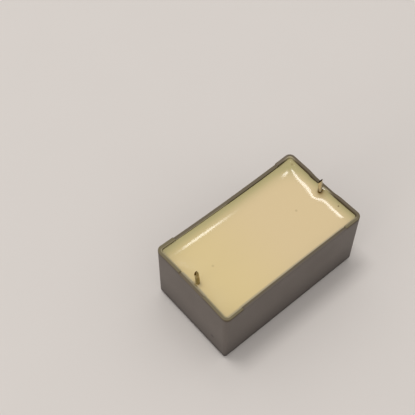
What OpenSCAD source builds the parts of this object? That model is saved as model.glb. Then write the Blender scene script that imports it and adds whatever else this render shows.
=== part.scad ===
// Low-profile box film capacitor, lying on its closed face with the potted side and the leads up.
// A moulded case holds a flat roll of plastic film, sprayed with metal on both ends. The coined foot
// of a lead is welded to each end, and the whole is potted in resin, which sags in the middle as it
// sets and stays high along the walls and round the leads.
// Origin: centre of the closed face. +X runs along the lead pitch, +Z out of the potted side.

/* [Case] */
// Width of the case at its open end
case_w = 24; // [20:0.5:30]
// Height of the case, from the closed face to the top of the stand-offs
case_h = 19; // [15:0.5:24]
// Distance from a lead's axis to the end of the case
end_margin = 2; // [1.7:0.1:4]
// Thickness of the four walls
wall = 0.9; // [0.6:0.05:1]
// Thickness of the closed face
face_t = 1; // [0.8:0.1:2]
// How far each wall leans in, from the open end down to the closed face
draft = 0.25; // [0.1:0.05:0.35]
// Radius of the upright corners outside, at the open end
corner_r = 1.6; // [1.6:0.1:3]
// Radius of the upright corners inside, at the open end
cavity_r = 0.8; // [0.6:0.1:1.5]
// Round of the edge between the walls and the closed face
edge_r = 1.2; // [0.6:0.1:1.3]

/* [Stand-offs] */
// Height of the corner stand-offs above the rim between them
standoff_h = 0.4; // [0.2:0.1:1]
// Length of a stand-off along the long wall
standoff_x = 5.1; // [3:0.1:10]
// Length of a stand-off along the short wall
standoff_y = 8; // [3:0.1:9]

/* [Leads] */
// Distance between the axes of the two leads
lead_pitch = 37.5; // [27.5:2.5:52.5]
// Diameter of the lead wire
lead_d = 1; // [0.8:0.1:1.2]
// Reach of the clipped leads above the stand-offs
lead_reach = 3.2; // [2:0.1:20]
// Height of the slanted cut at a lead's tip
clip_h = 0.5; // [0.2:0.05:0.8]
// Direction that the slanted cut faces, in degrees from +X
clip_turn = 140; // [0:5:355]
// Width of the coined blade at a lead's foot
blade_w = 1.2; // [1:0.1:1.6]
// Thickness of the coined blade
blade_t = 0.6; // [0.4:0.1:0.8]
// Length of the blade that lies on the sprayed end
weld_l = 9; // [4:0.5:11]

/* [Winding] */
// Resin between the winding and the long walls
side_cover = 1; // [0.5:0.1:2]
// Resin between the winding and the closed face
face_cover = 0.9; // [0.5:0.1:2]
// Resin over the winding, up to the level surface
top_cover = 2.2; // [1.5:0.1:4]
// Thickness of the metal sprayed on each end of the winding
spray_t = 0.6; // [0.3:0.1:1]

/* [Resin] */
// How far below the rim the resin meets the walls
edge_drop = 0.4; // [0.1:0.05:1]
// How much lower than that the level middle of the resin lies
sag = 0.75; // [0.3:0.05:1.5]
// Width of the climb, from a wall to the level middle
climb_w = 3.8; // [1.5:0.1:5]
// How far the resin climbs a lead
collar_h = 1.2; // [0.6:0.1:1.3]
// Width of the climb round a lead
collar_w = 1.4; // [1.3:0.1:3]
// How far the round wire runs down into the collar before the blade begins
wire_seat = 0.2; // [0.1:0.05:0.3]

/* [Hidden] */
$fn = 48;
// sides of a round that is blended into a flat wall, and its steps along a curved profile
blend_fn = 32;
blend_step = 15;
// overlap of a cut past the face that it opens
past = 1;

case_l = lead_pitch + 2 * end_margin;
rim_z = case_h - standoff_h;
edge_z = rim_z - edge_drop;
level_z = edge_z - sag;
cavity_l = case_l - 2 * wall;
cavity_w = case_w - 2 * wall;

spray_x = lead_pitch / 2 - blade_t / 2;
winding_l = 2 * (spray_x - spray_t);
winding_w = cavity_w - 2 * (draft + side_cover);
winding_z = face_t + face_cover;
winding_h = level_z - top_cover - winding_z;

tip_z = case_h + lead_reach;
wire_z = level_z + collar_h - wire_seat;
blade_z = winding_z + winding_h - weld_l;

// How far a wall that leans in by the draft stands in from its place at the open end, at height z
function lean(z) = draft * (1 - z / case_h);

// Radius of the arc that is level at its low end and climbs h over a run of w
function climb_r(w, h) = (w * w + h * h) / (2 * h);

// Puts a copy of its child at each corner of a rectangle of l by w
module at_corners(l, w) {
  for (x = [-1, 1], y = [-1, 1])
    translate([x * l / 2, y * w / 2, 0])
      children();
}

// One upright corner of the case: leaning side, and a quarter round down to the closed face
module case_corner() {
  foot_r = corner_r - lean(edge_r);
  quarter = [
    for (a = [0:blend_step:90])
      [foot_r - edge_r * (1 - sin(a)), edge_r * (1 - cos(a))]
  ];
  rotate_extrude($fn = blend_fn)
    polygon(concat([[0, 0]], quarter, [[corner_r, case_h], [0, case_h]]));
}

// Outside of the case, solid
module case_block() {
  hull()
    at_corners(case_l - 2 * corner_r, case_w - 2 * corner_r)
      case_corner();
}

// Inside of the case, from the closed face up past the open end
module cavity() {
  mouth_z = case_h + past;
  hull()
    at_corners(cavity_l - 2 * cavity_r, cavity_w - 2 * cavity_r)
      translate([0, 0, face_t])
        cylinder(
          h = mouth_z - face_t,
          r1 = cavity_r - lean(face_t),
          r2 = cavity_r - lean(mouth_z),
          $fn = blend_fn
        );
}

// What is taken off the rim so that only its four corners stand on the board
module rim_relief() {
  translate([0, 0, rim_z + past / 2 + standoff_h / 2]) {
    cube([case_l - 2 * standoff_x, case_w + past, standoff_h + past], center = true);
    cube([case_l + past, case_w - 2 * standoff_y, standoff_h + past], center = true);
  }
}

// Moulded plastic box, open on the potted side
module case() {
  color("#6a6560")
    difference() {
      case_block();
      cavity();
      rim_relief();
    }
}

// Section of the flat roll, standing in the YZ plane and centred on its own middle, l thick along X
module roll_section(l) {
  translate([0, 0, winding_z + winding_h / 2])
    rotate([90, 0, 90])
      linear_extrude(l, center = true) {
        square([winding_w - winding_h, winding_h], center = true);
        for (side = [-1, 1])
          translate([side * (winding_w - winding_h) / 2, 0])
            circle(d = winding_h);
      }
}

// Film wound flat, with its axis along the lead pitch
module winding() {
  color("#e6ddc4")
    roll_section(winding_l);
}

// Metal sprayed on an end of the winding: side is -1 on the left and 1 on the right
module end_spray(side) {
  color("#9a9a96")
    translate([side * (spray_x - spray_t / 2), 0, 0])
      roll_section(spray_t);
}

// Everything above the slanted face that the clippers leave on a wire that ends at tip_z
module clipped_off() {
  slope = atan2(clip_h, lead_d);
  translate([0, 0, tip_z])
    rotate([0, 0, clip_turn])
      translate([-lead_d / 2, 0, 0])
        rotate([0, slope, 0])
          translate([-lead_d, -lead_d, 0])
            cube([4 * lead_d, 2 * lead_d, 2 * lead_d]);
}

// Tinned wire, clipped at its tip and coined flat where it is welded to the sprayed end
module lead(side) {
  color("#b9ac8e")
    translate([side * lead_pitch / 2, 0, 0]) {
      difference() {
        translate([0, 0, wire_z])
          cylinder(h = tip_z - wire_z, d = lead_d);
        clipped_off();
      }
      translate([-blade_t / 2, -blade_w / 2, blade_z])
        cube([blade_t, blade_w, wire_z - blade_z]);
    }
}

// Concave ring of resin that climbs a lead
module collar() {
  arc_r = climb_r(collar_w, collar_h);
  outer_r = lead_d / 2 + collar_w;
  rotate_extrude()
    difference() {
      translate([0, level_z - past])
        square([outer_r, collar_h + past]);
      translate([outer_r, level_z + arc_r])
        circle(r = arc_r);
    }
}

// Air over the resin: level below, with edges that curve up to where the resin meets the walls
module air() {
  arc_r = climb_r(climb_w, sag);
  arc_end = asin(climb_w / arc_r);
  steps = 6;
  edge = [
    for (i = [0:steps])
      [arc_r * sin(i * arc_end / steps), arc_r * (1 - cos(i * arc_end / steps))]
  ];
  hull()
    at_corners(cavity_l - 2 * climb_w, cavity_w - 2 * climb_w)
      translate([0, 0, level_z])
        rotate_extrude($fn = blend_fn)
          polygon(concat(edge, [[climb_w, sag + past], [0, sag + past]]));
}

// Cast resin that fills the case round the winding and the leads
module resin_fill() {
  color("#d9c596")
    difference() {
      intersection() {
        cavity();
        union() {
          difference() {
            translate([0, 0, edge_z / 2])
              cube([case_l, case_w, edge_z], center = true);
            air();
          }
          for (side = [-1, 1])
            translate([side * lead_pitch / 2, 0, 0])
              collar();
        }
      }
      winding();
      for (side = [-1, 1]) {
        end_spray(side);
        lead(side);
      }
    }
}

case();
winding();
end_spray(-1);  // end_spray_left
end_spray(1);  // end_spray_right
lead(-1);  // lead_left
lead(1);  // lead_right
resin_fill();
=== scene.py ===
import math

import bpy
import numpy as np
from mathutils import Matrix, Vector


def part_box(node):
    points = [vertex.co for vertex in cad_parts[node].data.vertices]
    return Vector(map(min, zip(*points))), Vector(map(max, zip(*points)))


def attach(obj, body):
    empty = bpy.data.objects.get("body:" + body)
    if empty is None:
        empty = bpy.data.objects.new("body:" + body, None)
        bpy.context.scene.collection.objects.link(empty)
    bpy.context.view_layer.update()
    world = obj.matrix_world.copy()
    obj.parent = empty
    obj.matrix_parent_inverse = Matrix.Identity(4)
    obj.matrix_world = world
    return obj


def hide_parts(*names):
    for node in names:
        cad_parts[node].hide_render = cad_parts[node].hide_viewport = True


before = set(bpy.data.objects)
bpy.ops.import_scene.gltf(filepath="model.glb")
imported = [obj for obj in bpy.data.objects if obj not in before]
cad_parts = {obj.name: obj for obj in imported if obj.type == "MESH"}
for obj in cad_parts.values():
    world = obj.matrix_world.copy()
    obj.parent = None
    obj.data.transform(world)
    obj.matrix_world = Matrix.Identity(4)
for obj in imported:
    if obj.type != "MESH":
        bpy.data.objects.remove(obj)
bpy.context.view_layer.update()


# Film winding.
# Plastic film and foil, wound on a flat former and pressed, so that its sides are half round. The
# outer turn is clear film, pulled tight along the roll, with the silver of the foil below showing.

mm = 0.001


class Shade:
    """An output socket of a material. Arithmetic on shades and numbers adds Math nodes to its tree."""

    def __init__(self, tree, socket):
        self.tree = tree
        self.socket = socket

    def node(self, kind, settings, inputs, output=0):
        """Adds a node: its settings are set first, then its sockets, by name or number."""
        made = self.tree.nodes.new(kind)
        for name, value in settings.items():
            setattr(made, name, value)
        for name, value in inputs.items():
            if isinstance(value, Shade):
                self.tree.links.new(value.socket, made.inputs[name])
            else:
                made.inputs[name].default_value = value
        return Shade(self.tree, made.outputs[output])

    def maths(self, operation, first, second):
        return self.node("ShaderNodeMath", {"operation": operation}, {0: first, 1: second})

    def __add__(self, other):
        return self.maths("ADD", self, other)

    def __sub__(self, other):
        return self.maths("SUBTRACT", self, other)

    def __rsub__(self, other):
        return self.maths("SUBTRACT", other, self)

    def __mul__(self, other):
        return self.maths("MULTIPLY", self, other)

    __radd__ = __add__
    __rmul__ = __mul__

    def vector_maths(self, operation, other):
        """A number from these coordinates and others, such as the distance between them."""
        inputs = {0: self, 1: other}
        return self.node("ShaderNodeVectorMath", {"operation": operation}, inputs, output="Value")

    def axis(self, name):
        """One of these coordinates: X, Y or Z."""
        return self.node("ShaderNodeSeparateXYZ", {}, {0: self}, output=name)

    def scaled(self, scale):
        """These coordinates, each times its own scale. A low one draws a pattern out along its axis."""
        return self.node("ShaderNodeMapping", {}, {"Vector": self, "Scale": scale})

    def step(self, start, end):
        """Runs smoothly from 0 where this shade is start to 1 where it is end."""
        limits = {"Value": self, "From Min": start, "From Max": end}
        return self.node("ShaderNodeMapRange", {"interpolation_type": "SMOOTHSTEP"}, limits)

    def blend(self, low, high):
        """Colour that runs from low, where this shade is 0, to high, where it is 1."""
        return self.node("ShaderNodeMix", {"data_type": "RGBA"}, {0: self, 6: low, 7: high}, output=2)

    def noise(self, waves, detail=2):
        """Noise from 0 to 1 at these coordinates, with this many waves to a metre."""
        return self.node("ShaderNodeTexNoise", {}, {"Vector": self, "Scale": waves, "Detail": detail})

    def kept(self, name):
        """The number that a piece keeps for each of its points under this name."""
        return self.node("ShaderNodeAttribute", {"attribute_name": name}, {}, output="Fac")

    def bump(self, strength, distance):
        """Normal of a surface that this shade raises by up to a distance."""
        return self.node("ShaderNodeBump", {}, {"Strength": strength, "Distance": distance, "Height": self})

    def feed(self, shader, socket):
        self.tree.links.new(self.socket, shader.inputs[socket])


def paint(red, green, blue):
    """Colour from its screen levels of 0 to 255, as the linear values that a shader takes."""
    levels = np.array([red, green, blue]) / 255
    linear = np.where(levels > 0.04045, ((levels + 0.055) / 1.055) ** 2.4, levels / 12.92)
    return (*linear, 1)


def start_finish(name, **constants):
    """A material, its Principled shader with these sockets set, and its Object coordinates."""
    material = bpy.data.materials.new(name)
    material.use_nodes = True
    tree = material.node_tree
    shader = tree.nodes["Principled BSDF"]
    for socket, value in constants.items():
        shader.inputs[socket.replace("_", " ")].default_value = value
    place = Shade(tree, tree.nodes.new("ShaderNodeTexCoord").outputs["Object"])
    return material, shader, place


def dress(piece, material):
    """Gives a piece its only material."""
    piece.data.materials.clear()
    piece.data.materials.append(material)


film_clear = paint(226, 216, 190)
film_silver = paint(176, 174, 168)
film_pull = (0.15, 1, 1)
strain_waves = 900
strain_depth = 0.05 * mm
film, film_shader, film_place = start_finish("wound_film")
strain = film_place.scaled(film_pull).noise(strain_waves, detail=4)
strain.step(0.35, 0.7).blend(film_clear, film_silver).feed(film_shader, "Base Color")
(0.2 + 0.25 * strain).feed(film_shader, "Roughness")
strain.bump(0.3, strain_depth).feed(film_shader, "Normal")
dress(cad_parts["winding"], film)


# Sprayed ends.
# Zinc sprayed on both ends of the winding while molten, which joins the edges of all its turns. It
# sets as a dull grey crust of flattened droplets.

zinc_pale = paint(172, 172, 168)
zinc_dark = paint(118, 118, 116)
droplet_waves = 4500
crust_waves = 2200
crust_depth = 0.08 * mm
zinc, zinc_shader, zinc_place = start_finish("sprayed_zinc", Metallic=0.9)
droplets = zinc_place.node("ShaderNodeTexVoronoi", {}, {"Vector": zinc_place, "Scale": droplet_waves})
crust = zinc_place.noise(crust_waves, detail=5)
crust.step(0.3, 0.7).blend(zinc_dark, zinc_pale).feed(zinc_shader, "Base Color")
(0.5 + 0.25 * crust).feed(zinc_shader, "Roughness")
(crust - droplets).bump(0.6, crust_depth).feed(zinc_shader, "Normal")
for spray_name in ("end_spray_left", "end_spray_right"):
    dress(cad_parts[spray_name], zinc)


# Leads.
# Tinned wire, coined flat into a blade where it is welded to a sprayed end. The blade turns round
# again inside the resin, and the wire was cut short above it with clippers, which left a chisel tip.
# The left wire is tarnished all over, and the right one shines between painted dark reflections along
# its sides. Painted dark reflections also darken the clipped faces and the wires' feet.

blade_half = np.array([0.3, 0.6]) * mm
blade_power = 8
wire_r = 0.5 * mm
wire_foot = 17.6 * mm
coining = 0.5 * mm
lean_power = 1.5
cut_edge = math.radians(30)
# Where the wire leaves the resin and how far its tip leans from there, in mm from the blade's axis, the
# way that the clipped face looks in degrees from +X, the slopes of that face and of the facet behind
# it, and how far the ridge between them lies from the axis in mm.
lead_shapes = {
    "lead_left": {
        "foot": (0.2, -0.17),
        "lean": (-0.25, 0.22),
        "turn": 140,
        "slopes": (1.3, 0.4),
        "ridge": 0,
    },
    "lead_right": {
        "foot": (-0.1, -0.3),
        "lean": (0.14, 0.54),
        "turn": 114,
        "slopes": (1.43, 0.6),
        "ridge": -0.45,
    },
}
# How dull the tinning is, how far tarnish has taken its shine, the way that each painted dark
# reflection along the side looks in degrees from +X and its top in mm, how dark the painted reflection
# on the facet behind the cut is, and the top in mm and the share of the painted dark reflection at the
# wire's foot.
lead_wear = {
    "lead_left": {
        "dull": 0.9,
        "tarnish": 1.0,
        "side_reflections": (),
        "facet": 0.5,
        "stain_and_wire_reflection": (18.2, 0.4),
    },
    "lead_right": {
        "dull": 0.2,
        "tarnish": 0.0,
        "side_reflections": ((165, 20), (300, 21.6)),
        "facet": 0.0,
        "stain_and_wire_reflection": (18.6, 1.0),
    },
}
# Share of a painted side reflection at its darkest, its width in degrees, and how far it and the foot
# reflection fade out in mm
side_reflection_share = 0.95
side_reflection_w = 40
side_reflection_fade = 1.4
foot_reflection_fade = 0.35


def closed_skin(name, rings):
    """A smooth closed mesh over rings of points, in an array of (ring, point, xyz).

    Quads join each point to the next one round its ring and to the same one on the next ring. One
    face closes the first ring and one the last. Rings run anticlockwise about the way they advance.
    """
    count, around = rings.shape[:2]
    here = np.arange(count * around).reshape(count, around)
    ahead = np.roll(here, -1, axis=1)
    quads = np.stack([here[:-1], ahead[:-1], ahead[1:], here[1:]], axis=-1).reshape(-1, 4)
    faces = [here[0, ::-1].tolist(), *quads.tolist(), here[-1].tolist()]
    mesh = bpy.data.meshes.new(name)
    mesh.from_pydata(rings.reshape(-1, 3).tolist(), [], faces)
    mesh.polygons.foreach_set("use_smooth", np.ones(len(faces), dtype=bool))
    piece = bpy.data.objects.new(name, mesh)
    bpy.context.scene.collection.objects.link(piece)
    return piece


def keep(piece, name, values):
    """Keeps one number for each point of a piece, for its material to read."""
    piece.data.attributes.new(name, "FLOAT", "POINT").data.foreach_set("value", values.ravel())


def smooth_step(values, start, end):
    """0 below start, 1 above end, and a cubic with level ends between them."""
    share = np.clip((values - start) / (end - start), 0, 1)
    return share * share * (3 - 2 * share)


def bell(distance, width):
    """1 at distance 0, falling off as e to the power of minus the square of distance over width."""
    return np.exp(-(distance / width) ** 2)


def lead_rings(low, high, foot, lean, turn, slopes, ridge):
    """Rings up the lead and over its tip, and which of their points lie on the cut and on the facet behind.

    A ring is a superellipse. Its half axes and its exponent run from the blade's, nearly a rectangle,
    to the wire's, a circle, and over the tip it shrinks almost to a point. The tip is the lower of two
    planes that fall away from a ridge across the wire, and the rings below it are lowered by a share of
    that fall which grows up the wire. A power of the height gives the lean.
    """
    centre = (low + high) / 2
    clipped_tip = high.z
    tip_rings = 16
    tip_widest, tip_narrowest = 0.97, 0.02
    heights = np.concatenate([
        np.linspace(low.z, wire_foot - coining, 6),
        np.linspace(wire_foot - coining, wire_foot, 8)[1:],
        np.linspace(wire_foot, clipped_tip, 60)[1:],
        np.full(tip_rings, clipped_tip),
    ])[:, None]
    shrink = np.ones_like(heights)
    shrink[-tip_rings:, 0] = np.linspace(tip_widest, tip_narrowest, tip_rings)
    roundness = smooth_step(heights, wire_foot - coining, wire_foot)
    angle = np.linspace(0, 2 * np.pi, 64, endpoint=False)
    power = 2 / (blade_power + (2 - blade_power) * roundness)
    half_x, half_y = (half + (wire_r - half) * roundness for half in blade_half)
    x = shrink * half_x * np.sign(np.cos(angle)) * np.abs(np.cos(angle)) ** power
    y = shrink * half_y * np.sign(np.sin(angle)) * np.abs(np.sin(angle)) ** power
    way = math.radians(turn)
    past_ridge = x * math.cos(way) + y * math.sin(way) - ridge * mm
    fall = np.maximum(past_ridge * slopes[0], -past_ridge * slopes[1])
    up_wire = np.clip((heights - wire_foot) / (clipped_tip - wire_foot), 0, 1)
    z = heights - up_wire * fall
    lever = np.clip((z - wire_foot) / (clipped_tip - wire_foot), 0, None) ** lean_power
    x = centre.x + x + foot[0] * mm * roundness + lean[0] * mm * lever
    y = centre.y + y + foot[1] * mm * roundness + lean[1] * mm * lever
    over_tip = shrink < 1
    return np.stack([x, y, z], axis=-1), over_tip * (past_ridge > 0), over_tip * (past_ridge <= 0)


tin_pale = paint(246, 238, 218)
tin_dull = paint(172, 156, 102)
tin_tarnished = paint(184, 164, 116)
tin_brown = paint(158, 137, 84)
# Painted dark reflections on the clipped faces, and on the facet behind the left wire's cut
painted_cut_reflection = paint(26, 15, 3)
painted_cut_reflection_brown = paint(72, 48, 8)
# Painted dark reflection where each wire meets the resin
painted_foot_reflection = paint(104, 76, 28)
# Painted dark reflections along the right wire's sides
painted_side_reflection = paint(92, 68, 24)
wire_draw = (1, 1, 0.12)
grain_waves = 3500
grain_depth = 0.02 * mm
band_waves = 900
tin, tin_shader, tin_place = start_finish("tinned_wire", Specular_IOR_Level=0)
grain = tin_place.scaled(wire_draw).noise(grain_waves, detail=4)
bands = tin_place.noise(band_waves)
dulled = 0.8 * tin_place.kept("dull") + 0.4 * grain.step(0.35, 0.65)
tarnished = tin_place.kept("tarnish")
side_reflection = tin_place.kept("side_reflection")
cut = tin_place.kept("cut")
tin_and_reflections = dulled.blend(tin_pale, tin_dull)
tin_and_reflections = tarnished.blend(tin_and_reflections, bands.step(0.4, 0.62).blend(tin_tarnished, tin_brown))
tin_and_reflections = side_reflection.blend(tin_and_reflections, painted_side_reflection)
tin_and_reflections = tin_place.kept("stain_and_wire_reflection").blend(tin_and_reflections, painted_foot_reflection)
cut.blend(tin_and_reflections, tarnished.blend(painted_cut_reflection, painted_cut_reflection_brown)).feed(tin_shader, "Base Color")
((1 - cut) * (1 - side_reflection) * (1 - 0.5 * tarnished)).feed(tin_shader, "Metallic")
(0.35 + 0.2 * grain).feed(tin_shader, "Roughness")
grain.bump(0.25, grain_depth).feed(tin_shader, "Normal")

for node_name, shape in lead_shapes.items():
    rings, clipped, facet = lead_rings(*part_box(node_name), **shape)
    lead = closed_skin(node_name + "_wire", rings)
    wear = lead_wear[node_name]
    z = rings[..., 2]
    around = np.linspace(0, 360, z.shape[1], endpoint=False)
    # Painted dark reflections along the sides and at the foot of the wire
    side_reflections = np.zeros(z.shape)
    for way, top in wear["side_reflections"]:
        below_top = 1 - smooth_step(z, (top - side_reflection_fade) * mm, top * mm)
        side_reflections += side_reflection_share * bell(around - way, side_reflection_w) * below_top
    # Painted dark reflection at the wire's foot, where it meets the resin
    foot_reflection_top, foot_reflection_share = wear["stain_and_wire_reflection"]
    stain_and_wire_reflection = foot_reflection_share * (1 - smooth_step(z, (foot_reflection_top - foot_reflection_fade) * mm, foot_reflection_top * mm))
    keep(lead, "cut", clipped + wear["facet"] * facet)
    keep(lead, "dull", np.full(z.shape, wear["dull"]))
    keep(lead, "tarnish", np.full(z.shape, wear["tarnish"]))
    keep(lead, "side_reflection", side_reflections)
    keep(lead, "stain_and_wire_reflection", stain_and_wire_reflection)
    lead.data.set_sharp_from_angle(angle=cut_edge)
    dress(lead, tin)
    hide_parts(node_name)
    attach(lead, "root")


# Case.
# Box moulded in grey plastic with a satin, faintly sparked surface, open on the potted side.
# Its walls lean in towards the closed face and sank in a little as it cooled, and its corners stand
# proud of the rim to hold it off the board. The rim is stained and filmed where resin wetted it.
# Painted shade darkens the walls towards their foot and draws dark lines along the rim's edges.

half_l, half_w, case_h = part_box("case")[1]
wall = 0.9 * mm
face_t = 1 * mm
draft = 0.25 * mm
corner_r = 1.6 * mm
corner_foot_r = 0.9 * mm
inner_r = 0.8 * mm
least_r = 0.2 * mm
edge_r = 1.2 * mm
rim_round = 0.14 * mm
wet_w = 0.24 * mm
standoff_h = 0.4 * mm
standoff_x = 5.1 * mm
standoff_y = 8 * mm
standoff_ramp = 0.12 * mm
worn_ramp = 1.4 * mm
sink_far = 0.3 * mm
sink_near = 0.12 * mm
sink_left = 0.2 * mm
sink_right = 0.14 * mm
sink_power = 1.5


def side_shares(half_run, foot):
    """Places along a straight side, as shares of its half run, close together at the stand-offs' ends."""
    end = (half_run - foot) / half_run
    ramp = 2 * standoff_ramp / half_run
    half = np.concatenate([
        np.linspace(0, end - ramp, 24),
        np.linspace(end - ramp, end + ramp, 13)[1:],
        np.linspace(end + ramp, 1, 12)[1:],
    ])
    return np.concatenate([-half[:0:-1], half])


def rounded_rings(half_x, half_y, corner, along, across):
    """Rounded rectangles, anticlockwise from the -Y end of +X, for arrays of half sizes and radii.

    Straight sides hold points at the given shares of their half run, and quarter rounds join them.
    """
    half_x, half_y, corner = (np.asarray(value)[:, None] for value in (half_x, half_y, corner))
    run_x = half_x - corner
    run_y = half_y - corner
    arc = np.radians(np.linspace(0, 90, 13)[1:-1])
    rise = np.sin(arc) * corner
    fall = np.cos(arc) * corner
    end_x = half_x + 0 * across
    end_y = half_y + 0 * along
    x = [
        end_x, run_x + fall,
        -along * run_x, -run_x - rise,
        -end_x, -run_x - fall,
        along * run_x, run_x + rise,
    ]
    y = [
        across * run_y, run_y + rise,
        end_y, run_y + fall,
        -across * run_y, -run_y - rise,
        -end_y, -run_y - fall,
    ]
    return np.concatenate(x, axis=1), np.concatenate(y, axis=1)


def sunken(x, y, z):
    """Draws the walls in by parabolas along their length, growing from the closed face to the rim."""
    growth = np.clip(z / case_h, 0, 1) ** sink_power
    sink_short = np.where(x > 0, sink_right, sink_left)
    bow_x = sink_short * (1 - (y / half_w) ** 2) * growth * np.sign(x) * (x / half_l) ** 2
    sink_long = np.where(y > 0, sink_far, sink_near)
    bow_y = sink_long * (1 - (x / half_l) ** 2) * growth * np.sign(y) * (y / half_w) ** 2
    return np.stack([x - bow_x, y - bow_y, z], axis=-1)


def on_standoff(x, y):
    """1 on the corner stand-offs, 0 on the rim between them, with a ramp that is long on the +X wall."""
    x_end = half_l - standoff_x
    y_end = half_w - standoff_y
    past_x = smooth_step(np.abs(x), x_end - standoff_ramp, x_end + standoff_ramp)
    ramp = np.where(x > 0, worn_ramp, standoff_ramp)
    past_y = smooth_step(np.abs(y), y_end - ramp, y_end + ramp)
    on_long_wall = np.abs(y) > half_w - 1.5 * corner_r
    return np.where(on_long_wall, past_x, past_y)


def case_section():
    """The case's section: insets from the open end's outline, heights, and the steps that bound its rim.

    It runs over the closed face and its rounded edge, up the leaning wall, over the rim with a rounded
    lip on each side, and down inside to the floor.
    """
    quarter = np.radians(np.linspace(0, 90, 9))
    lip = np.radians(np.linspace(0, 90, 6))
    wall_top = case_h - 2.2 * mm
    inside_top = case_h - 1.5 * mm
    lip_foot = case_h - np.array([1.1, 0.5]) * mm
    wall_z = np.linspace(edge_r, wall_top, 16)[1:]
    inside_z = np.linspace(inside_top, face_t, 14)
    foot_lean = draft * (1 - edge_r / case_h)
    cap = 4 * mm
    inset = np.concatenate([
        foot_lean + edge_r + np.array([cap, cap / 10]),
        foot_lean + edge_r * (1 - np.sin(quarter)),
        draft * (1 - wall_z / case_h),
        draft * (1 - lip_foot / case_h),
        rim_round * (1 - np.cos(lip)),
        wall - wet_w * np.array([1.3, 1]),
        wall - rim_round * (1 - np.sin(lip)),
        [wall],
        wall + draft * (1 - inside_z / case_h),
        [wall + draft + cap],
    ])
    height = np.concatenate([
        np.zeros(2),
        edge_r * (1 - np.cos(quarter)),
        wall_z,
        lip_foot,
        case_h - rim_round * (1 - np.sin(lip)),
        [case_h, case_h],
        case_h - rim_round * (1 - np.cos(lip)),
        lip_foot[1:],
        inside_z,
        [face_t],
    ])
    rim_start = 2 + len(quarter) + len(wall_z)
    lip_start = rim_start + len(lip_foot)
    wet_start = lip_start + len(lip) + 1
    rim_end = wet_start + len(lip) + 2
    return inset, height, (rim_start, lip_start, wet_start, rim_end)


# How dark the painted shade lines along the rim's edges are: under the outer lip, there on the
# stand-offs of the long and of the short walls, on the near lip, inside the far short wall, and between
# the near stand-offs
lip_dark = 0.15
long_foot_dark = 0.85
short_foot_dark = 0.5
near_lip_dark = 0.6
far_inside_dark = 0.75
near_gap_dark = 0.35
# How much resin film is on the rim's inner part: on the near left and near right stand-offs, on the
# left wall, in a stretch behind the right lead and round the back corner
left_foot_wet = 0.95
right_foot_wet = 0.4
left_wall_wet = 0.5
lead_wet = 0.95
lead_wet_y = -1.3 * mm
lead_wet_w = 1.25 * mm
back_wet = 0.9
back_wet_w = 1.5 * mm
# How worn the stand-offs on the far short wall are
far_foot_worn = 0.5


def rim_wear(x, y, foot, bounds):
    """Shares of stain, painted shade, wear and film at each point of the case, as four arrays.

    The rim and the inside are stained, but between the near stand-offs only on the rim's inner part.
    Film behind the lead and at the back corner hides the painted dark line there.
    """
    rim_start, lip_start, wet_start, rim_end = bounds
    steps = np.arange(len(x))[:, None]
    on_long_wall = np.abs(y) > half_w - 0.5 * corner_r
    on_far_short = x > half_l - 1.5 * wall
    near_gap = on_long_wall * (y < 0) * (1 - foot)
    inner_part = steps >= wet_start - 1
    stained = (steps > lip_start + 1) * (1 - near_gap * ~inner_part)

    filmed = steps >= wet_start
    long_wet = np.where(x < 0, left_foot_wet, right_foot_wet) * foot * (y < 0)
    near_film = np.where(on_long_wall, long_wet, left_wall_wet * (x < 0))
    lead_film = lead_wet * on_far_short * bell(y - lead_wet_y, lead_wet_w)
    from_back = np.hypot(x - half_l + wall, y - half_w + wall)
    far_film = np.maximum(lead_film, back_wet * bell(from_back, back_wet_w))
    wet = filmed * np.maximum(near_film, far_film)

    # Painted shade lines under the lip, on the near lip, inside and between the near stand-offs
    under_lip = (steps > rim_start) & (steps < lip_start + 3)
    near_lip = (steps == lip_start + 3) & (y < corner_r - half_w)
    far_inside = (steps > wet_start) & on_far_short
    foot_dark = foot * np.where(on_long_wall, long_foot_dark, short_foot_dark)
    outer_dark = under_lip * (lip_dark + foot_dark) + near_lip_dark * near_lip * foot
    inner_dark = np.maximum(steps > rim_end - 3, far_inside_dark * far_inside)
    painted_shade = np.maximum(outer_dark, inner_dark) * (1 - filmed * far_film)
    painted_shade = np.maximum(painted_shade, near_gap_dark * near_gap * inner_part)

    worn = foot * np.where(on_far_short, far_foot_worn, 1)
    return stained, painted_shade, worn, wet


def case_rings():
    """The section carried round rounded rectangles, and the shares of wear and painted shade at each of its
    points.

    The outside corners tighten towards the closed face, and the rim is lower between the stand-offs.
    """
    inset, height, bounds = case_section()
    rim_start, _, wet_start, rim_end = bounds
    steps = np.arange(len(inset))
    outer_r = corner_foot_r + (corner_r - corner_foot_r) * height / case_h
    corner = np.maximum(np.where(steps > wet_start, inner_r + wall, outer_r) - inset, least_r)
    along = side_shares(half_l - corner_r, standoff_x - corner_r)
    across = side_shares(half_w - corner_r, standoff_y - corner_r)
    x, y = rounded_rings(half_l - inset, half_w - inset, corner, along, across)
    foot = on_standoff(x, y)
    rim = (steps >= rim_start) & (steps < rim_end)
    z = height[:, None] - rim[:, None] * standoff_h * (1 - foot)
    return sunken(x, y, z), *rim_wear(x, y, foot, bounds)


case_grey = paint(94, 85, 78)
case_deep = paint(89, 80, 73)
# Painted shade: the walls darken towards the floor and more at their foot; the speck takes that colour
painted_low_shade = paint(77, 68, 62)
painted_foot_shade_and_speck = paint(48, 39, 33)
rim_stain = paint(102, 90, 69)
rim_dark = paint(92, 80, 57)
foot_stain = paint(112, 101, 73)
foot_worn = paint(110, 97, 80)
# Painted shade in the dark lines along the rim's edges
edge_stain = paint(68, 54, 31)
wet_film = paint(172, 159, 124)
# A dark speck in the short wall
speck_at = (-20.65 * mm, -7.45 * mm, 5.4 * mm)
speck_r = 0.72 * mm
speck_core_r = 0.2 * mm
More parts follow.
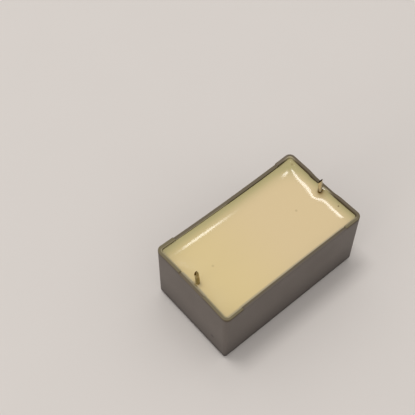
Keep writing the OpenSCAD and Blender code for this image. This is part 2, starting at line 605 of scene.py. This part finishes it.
# Where painted shade on the wall starts downwards and is darkest, where the painted shade at its foot
# does, where the worn corners change colour towards the back, and where the rim darkens towards the far
# short wall
low_from = 10 * mm
low_full = 1 * mm
foot_from = 2.8 * mm
foot_full = 1.2 * mm
back_from = 6 * mm
back_full = 14 * mm
far_from = 18.5 * mm
far_full = 19.5 * mm
cloud_waves = 120
spark_waves = 5200
spark_depth = 0.015 * mm
plastic, plastic_shader, plastic_place = start_finish("case_plastic")
cloud = plastic_place.noise(cloud_waves, detail=3)
sparked = plastic_place.noise(spark_waves, detail=3)
up_wall = plastic_place.axis("Z")
towards_back = plastic_place.vector_maths("DOT_PRODUCT", (1, 1, 0))
from_speck = plastic_place.vector_maths("DISTANCE", speck_at)
moulded_and_shaded = cloud.step(0.3, 0.7).blend(case_deep, case_grey)
# Painted shade towards the floor, darker at the foot
moulded_and_shaded = up_wall.step(low_from, low_full).blend(moulded_and_shaded, painted_low_shade)
moulded_and_shaded = up_wall.step(foot_from, foot_full).blend(moulded_and_shaded, painted_foot_shade_and_speck)
moulded_and_shaded = from_speck.step(speck_r, speck_core_r).blend(moulded_and_shaded, painted_foot_shade_and_speck)
worn = towards_back.step(back_from, back_full).blend(foot_stain, foot_worn)
far_rim = plastic_place.axis("X").step(far_from, far_full).blend(rim_stain, rim_dark)
stain_and_wire_reflection = plastic_place.kept("foot").blend(far_rim, worn)
stained_and_shaded = plastic_place.kept("rim").blend(moulded_and_shaded, stain_and_wire_reflection)
# Painted shade along the rim's edges
stained_and_shaded = plastic_place.kept("painted_shade").blend(stained_and_shaded, edge_stain)
plastic_place.kept("wet").blend(stained_and_shaded, wet_film).feed(plastic_shader, "Base Color")
(0.42 + 0.16 * sparked).feed(plastic_shader, "Roughness")
sparked.bump(0.25, spark_depth).feed(plastic_shader, "Normal")

rings, rim_share, painted_shade_share, foot_share, wet_share = case_rings()
case = closed_skin("moulded_case", rings)
keep(case, "rim", rim_share)
keep(case, "painted_shade", painted_shade_share)
keep(case, "foot", foot_share)
keep(case, "wet", wet_share)
dress(case, plastic)
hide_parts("case")
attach(case, "root")


# Resin.
# Cream casting resin, poured in round the winding up to just below the rim. It shrank as it set, but
# stays high where it wetted the walls and the leads, most of all between a lead and the wall behind it.
# Its olive on the far climbs is thin resin and painted shade. Painted shade darkens it along the far
# short wall and round the wires, with a painted shadow beside the right one.

resin_half_l = half_l - wall
resin_half_w = half_w - wall
level_z = 17.45 * mm
level_fall = 0.01
highest = 1.6 * mm
into_wall = 0.02 * mm
skirt_drop = 0.05 * mm
lead_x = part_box("lead_right")[1].x - wire_r
right_seat_y = -0.48 * mm
# The pool behind the right lead: its place, how it rises towards the wall and how it is dished across
pool_x = lead_x + 0.8 * mm
pool_y = -0.76 * mm
pool_z = 18.55 * mm
pool_rise = 0.13
pool_dish = 0.05 / mm


def fade(distance, reach):
    """1 up to a place, and falling by a factor of e over each reach away from it."""
    return np.exp(-np.maximum(distance, 0) / reach)


def climb(distance, height, reach):
    """How far resin climbs at a distance from its foot, for a height at the foot and a reach in mm."""
    return height * mm * fade(distance, reach * mm)


def from_leads(x, y):
    """Distances in the plan from the left and from the right wire, where they leave the resin."""
    to_left = np.hypot(x + lead_x, y) - wire_r
    to_right = np.hypot(x - lead_x, y - right_seat_y) - wire_r
    return to_left, to_right


def resin_height(x, y):
    """Height of the resin's surface, which is level apart from its climbs.

    The climbs at the four walls and at the two leads are added, and the sum levels off, as a
    hyperbolic tangent, towards the greatest height. The pool behind the right lead caps it.
    """
    from_right = resin_half_l - x
    from_left = resin_half_l + x
    from_far = resin_half_w - y
    from_near = resin_half_w + y
    uneven = 1 - 0.08 * bell(y + 3.9 * mm, 1.8 * mm)
    beyond_lead = smooth_step(y, 3.8 * mm, 5 * mm)
    before_lead = smooth_step(-y, 1.5 * mm, 3.5 * mm)
    clear_of_lead = np.where(y > 0, beyond_lead, before_lead)
    near_part = 1 - smooth_step(y, 2 * mm, 6 * mm)
    walls = (
        climb(from_right, height=0.84, reach=2.67) * uneven
        + climb(from_right, height=0.2, reach=0.3)
        + climb(from_right, height=0.6, reach=0.35) * clear_of_lead
        + climb(from_left, height=0.35, reach=0.3) * near_part
        + climb(from_far, height=0.85, reach=2.16)
        + climb(from_near, height=0.4, reach=1.88)
        + climb(from_near, height=0.3, reach=0.3)
    )
    to_left, to_right = from_leads(x, y)
    from_seat = y - right_seat_y
    leads = (
        climb(to_left, height=0.2, reach=0.25)
        + climb(to_right, height=0.1, reach=2.45)
        + climb(from_left, height=0.65, reach=0.5) * bell(y, 3 * mm)
        + climb(from_right, height=1.6, reach=0.6) * bell(from_seat, 1.03 * mm)
        + climb(from_right, height=0.9, reach=0.35) * bell(from_seat, 1.9 * mm)
    )
    z = level_z - level_fall * x + highest * np.tanh((walls + leads) / highest)
    pool = pool_z + pool_rise * (x - pool_x) + pool_dish * (y - pool_y) ** 2
    return np.where(x > lead_x, np.minimum(z, pool), z)


# Thin resin with painted shade on the two far walls, film on the two near ones and how far the
# stand-offs keep it off, painted shade along the far short wall, painted shade round the leads and a
# painted shadow beside the right one
far_short_thin = 0.9375
far_short_thin_w = 2.1 * mm
far_long_thin = 1.125
far_long_thin_w = 2.2 * mm
film_w = 0.25 * mm
film_end = 0.8 * mm
foot_bare = 0.55
far_edge = 0.5
far_edge_w = 0.3 * mm
left_seat = 0.4
right_seat = 0.85
seat_w = 0.28 * mm
shadow_at = (18.4 * mm, -1.5 * mm)
shadow_share = 0.28
shadow_w = 1.1 * mm


def resin_stains(x, y):
    """Shares at each point of thin resin with painted shade, of film, of the painted dark edge and of
    the painted shade and shadow by the wires.

    Thin resin, edge and seats fade away from the walls and wires by a factor of e over each width.
    """
    from_right = resin_half_l - x
    # Thin resin and painted shade on the far climbs
    thin_and_shaded = far_short_thin * fade(from_right, far_short_thin_w)
    thin_and_shaded += far_long_thin * fade(resin_half_w - y, far_long_thin_w)
    from_near = np.minimum(resin_half_l + x, resin_half_w + y)
    film = (1 - smooth_step(from_near, film_w, film_end)) * (1 - foot_bare * on_standoff(x, y))
    # Painted shade along the far short wall
    edge = far_edge * fade(from_right, far_edge_w)
    to_left, to_right = from_leads(x, y)
    # Painted shade round the wires and a painted shadow of the right one
    from_shadow = np.hypot(x - shadow_at[0], y - shadow_at[1])
    seat_shade = left_seat * fade(to_left, seat_w) + right_seat * fade(to_right, seat_w)
    seat_shade += shadow_share * bell(from_shadow, shadow_w)
    return thin_and_shaded, film, edge, seat_shade


def resin_rings():
    """Rounded rectangles up the case's inside and in from the wall to the middle, and the resin's stains
    and painted shade.

    The first few are a skirt from the case's floor up to the resin's edge, and the rest are lifted to
    its surface. Their corners grow rounder by a quarter of the way that they have come in.
    """
    skirt = 5
    up_skirt = np.linspace(0, 1, skirt)
    floor_z = face_t - into_wall
    floor_lean = draft * (1 - face_t / case_h)
    climb_end = 4 * mm
    last_half = 0.6 * mm
    inset = np.concatenate([
        floor_lean * (1 - up_skirt) - into_wall,
        np.linspace(-into_wall, climb_end, 60)[1:],
        np.linspace(climb_end, resin_half_w - last_half, 24)[1:],
    ])
    corner = np.clip(inner_r + inset / 4, inner_r, resin_half_w - inset - 0.1 * mm)
    fine_end = 0.35
    half_across = np.concatenate([np.linspace(0, fine_end, 36), np.linspace(fine_end, 1, 36)[1:]])
    across = np.concatenate([-half_across[:0:-1], half_across])
    along = np.linspace(-1, 1, 90)
    x, y = rounded_rings(resin_half_l - inset, resin_half_w - inset, corner, along, across)
    z = resin_height(x, y)
    z[:skirt] = floor_z + (z[skirt] - skirt_drop - floor_z) * up_skirt[:, None]
    return sunken(x, y, z), *resin_stains(x, y)


resin_cream = paint(218, 193, 145)
resin_yellow = paint(218, 194, 136)
# Olive is thin resin over the grey wall and painted shade on the far climbs
olive_and_painted_shade = paint(178, 165, 110)
resin_film = paint(168, 154, 121)
# Painted shade along the far short wall
resin_edge = paint(122, 108, 72)
# Painted shade round the wires and a painted shadow beside the right one
painted_seat_shade = paint(126, 96, 24)
grit_brown = paint(116, 90, 36)
# Specks of grit in the surface: the place and the radius in mm, and how dark
specks = (
    ((19.05, -6.05, 17.84), 0.32, 1),
    ((11.05, -0.37, 17.37), 0.4, 0.25),
    ((-13.2, 1, 17.6), 0.4, 0.2),
    ((18.9, 9.4, 18.35), 0.45, 0.4),
)
grit_core = 0.4
# Where the resin starts to turn yellow towards the left wall, and is yellowest
yellow_from = 6 * mm
yellow_full = -16 * mm
mottle_waves = 220
gloss = {"IOR": 1.53, "Coat_Weight": 1, "Coat_Roughness": 0.07}
resin, resin_shader, resin_place = start_finish("potting_resin", **gloss)
mottle = resin_place.noise(mottle_waves, detail=3)
cast = resin_place.axis("X").step(yellow_from, yellow_full).blend(resin_cream, resin_yellow)
# Thin resin with painted shade, film, and painted shade at the edge and round the wires
settled_and_shaded = resin_place.kept("thin_and_shaded").step(0.12, 0.95).blend(cast, olive_and_painted_shade)
settled_and_shaded = resin_place.kept("film").blend(settled_and_shaded, resin_film)
settled_and_shaded = resin_place.kept("edge").blend(settled_and_shaded, resin_edge)
settled_and_shaded = resin_place.kept("seat_shade").blend(settled_and_shaded, painted_seat_shade)
grit = 0
for speck, radius, share in specks:
    from_grit = resin_place.vector_maths("DISTANCE", Vector(speck) * mm)
    grit = grit + share * from_grit.step(radius * mm, grit_core * radius * mm)
grit.blend(settled_and_shaded, grit_brown).feed(resin_shader, "Base Color")
(0.06 + 0.03 * mottle).feed(resin_shader, "Roughness")

rings, thin_and_shaded_share, film_share, edge_share, seat_shade_share = resin_rings()
fill = closed_skin("resin_surface", rings)
keep(fill, "thin_and_shaded", thin_and_shaded_share)
keep(fill, "film", film_share)
keep(fill, "edge", edge_share)
keep(fill, "seat_shade", seat_shade_share)
dress(fill, resin)
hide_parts("resin_fill")
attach(fill, "root")


# Table.
# A plain pale table top that the part rests on, matt and faintly uneven in colour. It is wide enough
# to fill every view.

table_pale = paint(217, 210, 204)
table_faint = paint(215, 208, 202)
table_half = 3
table_waves = 40
table_mesh = bpy.data.meshes.new("table")
corners = np.array([[-1, -1, 0], [1, -1, 0], [1, 1, 0], [-1, 1, 0]]) * table_half
table_mesh.from_pydata(corners.tolist(), [], [[0, 1, 2, 3]])
table = bpy.data.objects.new("table", table_mesh)
bpy.context.scene.collection.objects.link(table)
table_finish, table_shader, table_place = start_finish("table_top", Roughness=0.7, Specular_IOR_Level=0.1)
table_place.noise(table_waves).blend(table_pale, table_faint).feed(table_shader, "Base Color")
table_mesh.materials.append(table_finish)


# Light.
# An even pale room, with a soft light overhead and a window on the left, and two small lamps on the far
# side, one with a dimmer end, which draw the bright lines in the climbing edges of the resin.

sky_strength = 0.68
world = bpy.data.worlds.new("room")
world.use_nodes = True
bpy.context.scene.world = world
sky = world.node_tree.nodes["Background"]
sky.inputs["Color"].default_value = (1, 1, 1, 1)
sky.inputs["Strength"].default_value = sky_strength
# The direction that each lamp hangs in and the way of its long side, its distance and its sizes in
# metres, its radiance, and whether gloss shows it
lamps = {
    "left_lamp": {
        "towards": (0.344, 0.1835, 0.921),
        "along": (1, 0.1, 0),
        "distance": 1,
        "size": (0.058, 0.056),
        "radiance": 4.6,
        "in_gloss": True,
    },
    "left_lamp_end": {
        "towards": (0.381, 0.188, 0.905),
        "along": (1, 0.1, 0),
        "distance": 1,
        "size": (0.0185, 0.056),
        "radiance": 2,
        "in_gloss": True,
    },
    "right_lamp": {
        "towards": (0.2558, 0.3054, 0.917),
        "along": (0.362, 0.932, 0),
        "distance": 1,
        "size": (0.195, 0.05),
        "radiance": 4.9,
        "in_gloss": True,
    },
    "soft_light": {
        "towards": (-0.084, 0.207, 0.975),
        "along": (1, 0, 0),
        "distance": 1.2,
        "size": (0.26, 0.26),
        "radiance": 17.2,
        "in_gloss": False,
    },
    "window_light": {
        "towards": (-0.97, -0.05, 0.24),
        "along": (0, 1, 0),
        "distance": 1.5,
        "size": (0.8, 0.4),
        "radiance": 4,
        "in_gloss": False,
    },
}


def hang_lamp(name, towards, along, distance, size, radiance, in_gloss):
    """A flat lamp that faces the part from the given direction, its long side along another."""
    light = bpy.data.lights.new(name, "AREA")
    light.shape = "RECTANGLE"
    light.size, light.size_y = size
    light.energy = radiance * math.pi * size[0] * size[1]
    lamp = bpy.data.objects.new(name, light)
    facing = Vector(towards).normalized()
    length_way = (Vector(along) - Vector(along).dot(facing) * facing).normalized()
    width_way = facing.cross(length_way)
    lamp.matrix_world = Matrix((length_way, width_way, facing)).transposed().to_4x4()
    lamp.location = Vector((0, 0, case_h)) + distance * facing
    lamp.visible_glossy = in_gloss
    bpy.context.scene.collection.objects.link(lamp)


for lamp_name, lamp in lamps.items():
    hang_lamp(lamp_name, **lamp)


# Camera.
# It looks down on the potted side from above the corner of a short and a long wall. Its place, turn and
# focal length were fitted to the edges of the box.

image_px = 415
focal_px = 901.4
sensor = 36
camera_at = Vector((-78.9, -72.8, 191.4)) * mm
camera_turn = math.radians(40.95)
camera_down = math.radians(56.68)
camera_roll = math.radians(-0.31)
view = bpy.data.cameras.new("photo_view")
view.sensor_width = sensor
view.lens = focal_px / image_px * sensor
view.clip_start = 0.01
camera = bpy.data.objects.new("photo_view", view)
level_turn = Matrix.Rotation(-camera_turn, 4, "Z")
tilt = Matrix.Rotation(math.pi / 2 - camera_down, 4, "X")
roll = Matrix.Rotation(-camera_roll, 4, "Z")
camera.matrix_world = Matrix.Translation(camera_at) @ level_turn @ tilt @ roll
bpy.context.scene.collection.objects.link(camera)
bpy.context.scene.camera = camera
bpy.context.scene.view_settings.view_transform = "Standard"
